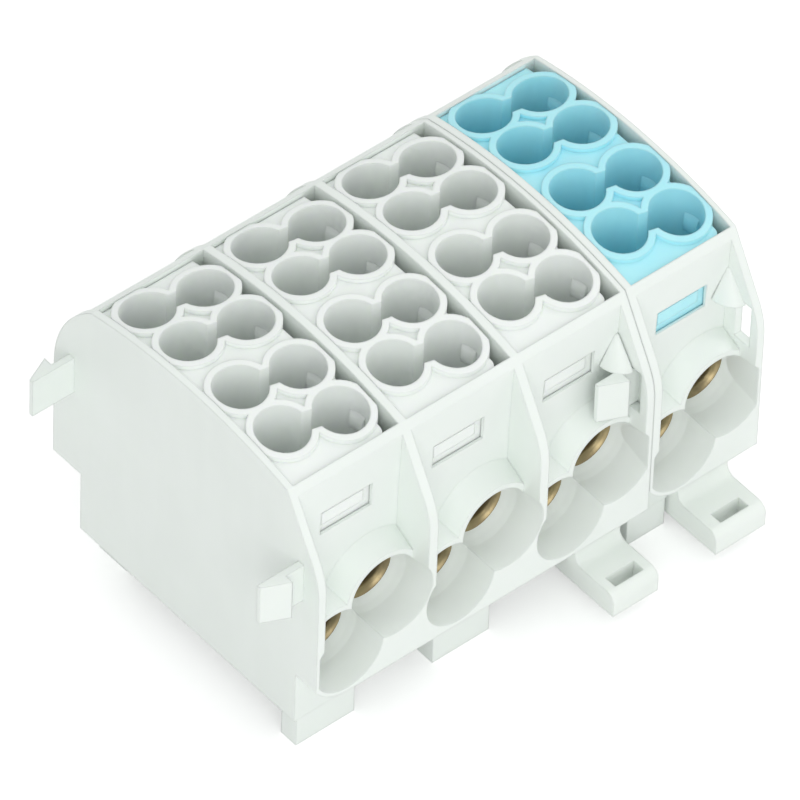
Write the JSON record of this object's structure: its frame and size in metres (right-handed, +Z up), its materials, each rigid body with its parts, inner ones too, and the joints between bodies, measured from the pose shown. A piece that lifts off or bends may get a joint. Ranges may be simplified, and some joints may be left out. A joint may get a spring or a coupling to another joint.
{
  "type": "power distribution block",
  "caption": "Power distribution block for a top-hat rail: arched finned housing, paired screwdriver wells in the roof, staggered cable funnels and sliding rail latches.",
  "frame": {"origin": "middle of the bounding box in X and Y, on the bottom of the feet", "axes": "+X along the rail towards the blue pole, +Y towards the fixed rail hooks, +Z up out of the wells"},
  "size_m": [0.0882, 0.0632, 0.0523],
  "materials": {
    "white_plastic": "fine satin",
    "white_insert": "smooth satin",
    "blue_insert": "smooth satin",
    "latch_plastic": "smooth satin",
    "brass_bar": "machined",
    "screw_steel": "bright zinc plated"
  },
  "bodies": {
    "block": {"housing_3pole": "white_plastic", "housing_neutral": "white_plastic", "insert_p1": "white_insert", "insert_p2": "white_insert", "insert_p3": "white_insert", "insert_n": "blue_insert", "bar_p1": "brass_bar", "bar_p2": "brass_bar", "bar_p3": "brass_bar", "bar_n": "brass_bar"},
    "latch_3pole": {"latch_3pole": "latch_plastic"},
    "latch_neutral": {"latch_neutral": "latch_plastic"},
    "screw_p1_l1": {"screw_p1_l1": "screw_steel"},
    "screw_p1_l2": {"screw_p1_l2": "screw_steel"},
    "screw_p1_l3": {"screw_p1_l3": "screw_steel"},
    "screw_p1_l4": {"screw_p1_l4": "screw_steel"},
    "screw_p1_r1": {"screw_p1_r1": "screw_steel"},
    "screw_p1_r2": {"screw_p1_r2": "screw_steel"},
    "screw_p1_r3": {"screw_p1_r3": "screw_steel"},
    "screw_p1_r4": {"screw_p1_r4": "screw_steel"},
    "screw_p2_l1": {"screw_p2_l1": "screw_steel"},
    "screw_p2_l2": {"screw_p2_l2": "screw_steel"},
    "screw_p2_l3": {"screw_p2_l3": "screw_steel"},
    "screw_p2_l4": {"screw_p2_l4": "screw_steel"},
    "screw_p2_r1": {"screw_p2_r1": "screw_steel"},
    "screw_p2_r2": {"screw_p2_r2": "screw_steel"},
    "screw_p2_r3": {"screw_p2_r3": "screw_steel"},
    "screw_p2_r4": {"screw_p2_r4": "screw_steel"},
    "screw_p3_l1": {"screw_p3_l1": "screw_steel"},
    "screw_p3_l2": {"screw_p3_l2": "screw_steel"},
    "screw_p3_l3": {"screw_p3_l3": "screw_steel"},
    "screw_p3_l4": {"screw_p3_l4": "screw_steel"},
    "screw_p3_r1": {"screw_p3_r1": "screw_steel"},
    "screw_p3_r2": {"screw_p3_r2": "screw_steel"},
    "screw_p3_r3": {"screw_p3_r3": "screw_steel"},
    "screw_p3_r4": {"screw_p3_r4": "screw_steel"},
    "screw_n_l1": {"screw_n_l1": "screw_steel"},
    "screw_n_l2": {"screw_n_l2": "screw_steel"},
    "screw_n_l3": {"screw_n_l3": "screw_steel"},
    "screw_n_l4": {"screw_n_l4": "screw_steel"},
    "screw_n_r1": {"screw_n_r1": "screw_steel"},
    "screw_n_r2": {"screw_n_r2": "screw_steel"},
    "screw_n_r3": {"screw_n_r3": "screw_steel"},
    "screw_n_r4": {"screw_n_r4": "screw_steel"}
  },
  "joints": [
    {"name": "latch_3pole_slide", "type": "slide", "parent": "block", "child": "latch_3pole", "axis": [0, -1, 0], "range_m": [0, 0.003], "stiffness_N_per_m": 20},
    {"name": "latch_neutral_slide", "type": "slide", "parent": "block", "child": "latch_neutral", "axis": [0, -1, 0], "range_m": [0, 0.003], "stiffness_N_per_m": 20},
    {"name": "screw_p1_l1_travel", "type": "slide", "parent": "block", "child": "screw_p1_l1", "axis": [0, 0, -1], "range_m": [0, 0.005]},
    {"name": "screw_p1_l2_travel", "type": "slide", "parent": "block", "child": "screw_p1_l2", "axis": [0, 0, -1], "range_m": [0, 0.005]},
    {"name": "screw_p1_l3_travel", "type": "slide", "parent": "block", "child": "screw_p1_l3", "axis": [0, 0, -1], "range_m": [0, 0.005]},
    {"name": "screw_p1_l4_travel", "type": "slide", "parent": "block", "child": "screw_p1_l4", "axis": [0, 0, -1], "range_m": [0, 0.005]},
    {"name": "screw_p1_r1_travel", "type": "slide", "parent": "block", "child": "screw_p1_r1", "axis": [0, 0, -1], "range_m": [0, 0.005]},
    {"name": "screw_p1_r2_travel", "type": "slide", "parent": "block", "child": "screw_p1_r2", "axis": [0, 0, -1], "range_m": [0, 0.005]},
    {"name": "screw_p1_r3_travel", "type": "slide", "parent": "block", "child": "screw_p1_r3", "axis": [0, 0, -1], "range_m": [0, 0.005]},
    {"name": "screw_p1_r4_travel", "type": "slide", "parent": "block", "child": "screw_p1_r4", "axis": [0, 0, -1], "range_m": [0, 0.005]},
    {"name": "screw_p2_l1_travel", "type": "slide", "parent": "block", "child": "screw_p2_l1", "axis": [0, 0, -1], "range_m": [0, 0.005]},
    {"name": "screw_p2_l2_travel", "type": "slide", "parent": "block", "child": "screw_p2_l2", "axis": [0, 0, -1], "range_m": [0, 0.005]},
    {"name": "screw_p2_l3_travel", "type": "slide", "parent": "block", "child": "screw_p2_l3", "axis": [0, 0, -1], "range_m": [0, 0.005]},
    {"name": "screw_p2_l4_travel", "type": "slide", "parent": "block", "child": "screw_p2_l4", "axis": [0, 0, -1], "range_m": [0, 0.005]},
    {"name": "screw_p2_r1_travel", "type": "slide", "parent": "block", "child": "screw_p2_r1", "axis": [0, 0, -1], "range_m": [0, 0.005]},
    {"name": "screw_p2_r2_travel", "type": "slide", "parent": "block", "child": "screw_p2_r2", "axis": [0, 0, -1], "range_m": [0, 0.005]},
    {"name": "screw_p2_r3_travel", "type": "slide", "parent": "block", "child": "screw_p2_r3", "axis": [0, 0, -1], "range_m": [0, 0.005]},
    {"name": "screw_p2_r4_travel", "type": "slide", "parent": "block", "child": "screw_p2_r4", "axis": [0, 0, -1], "range_m": [0, 0.005]},
    {"name": "screw_p3_l1_travel", "type": "slide", "parent": "block", "child": "screw_p3_l1", "axis": [0, 0, -1], "range_m": [0, 0.005]},
    {"name": "screw_p3_l2_travel", "type": "slide", "parent": "block", "child": "screw_p3_l2", "axis": [0, 0, -1], "range_m": [0, 0.005]},
    {"name": "screw_p3_l3_travel", "type": "slide", "parent": "block", "child": "screw_p3_l3", "axis": [0, 0, -1], "range_m": [0, 0.005]},
    {"name": "screw_p3_l4_travel", "type": "slide", "parent": "block", "child": "screw_p3_l4", "axis": [0, 0, -1], "range_m": [0, 0.005]},
    {"name": "screw_p3_r1_travel", "type": "slide", "parent": "block", "child": "screw_p3_r1", "axis": [0, 0, -1], "range_m": [0, 0.005]},
    {"name": "screw_p3_r2_travel", "type": "slide", "parent": "block", "child": "screw_p3_r2", "axis": [0, 0, -1], "range_m": [0, 0.005]},
    {"name": "screw_p3_r3_travel", "type": "slide", "parent": "block", "child": "screw_p3_r3", "axis": [0, 0, -1], "range_m": [0, 0.005]},
    {"name": "screw_p3_r4_travel", "type": "slide", "parent": "block", "child": "screw_p3_r4", "axis": [0, 0, -1], "range_m": [0, 0.005]},
    {"name": "screw_n_l1_travel", "type": "slide", "parent": "block", "child": "screw_n_l1", "axis": [0, 0, -1], "range_m": [0, 0.005]},
    {"name": "screw_n_l2_travel", "type": "slide", "parent": "block", "child": "screw_n_l2", "axis": [0, 0, -1], "range_m": [0, 0.005]},
    {"name": "screw_n_l3_travel", "type": "slide", "parent": "block", "child": "screw_n_l3", "axis": [0, 0, -1], "range_m": [0, 0.005]},
    {"name": "screw_n_l4_travel", "type": "slide", "parent": "block", "child": "screw_n_l4", "axis": [0, 0, -1], "range_m": [0, 0.005]},
    {"name": "screw_n_r1_travel", "type": "slide", "parent": "block", "child": "screw_n_r1", "axis": [0, 0, -1], "range_m": [0, 0.005]},
    {"name": "screw_n_r2_travel", "type": "slide", "parent": "block", "child": "screw_n_r2", "axis": [0, 0, -1], "range_m": [0, 0.005]},
    {"name": "screw_n_r3_travel", "type": "slide", "parent": "block", "child": "screw_n_r3", "axis": [0, 0, -1], "range_m": [0, 0.005]},
    {"name": "screw_n_r4_travel", "type": "slide", "parent": "block", "child": "screw_n_r4", "axis": [0, 0, -1], "range_m": [0, 0.005]}
  ]
}
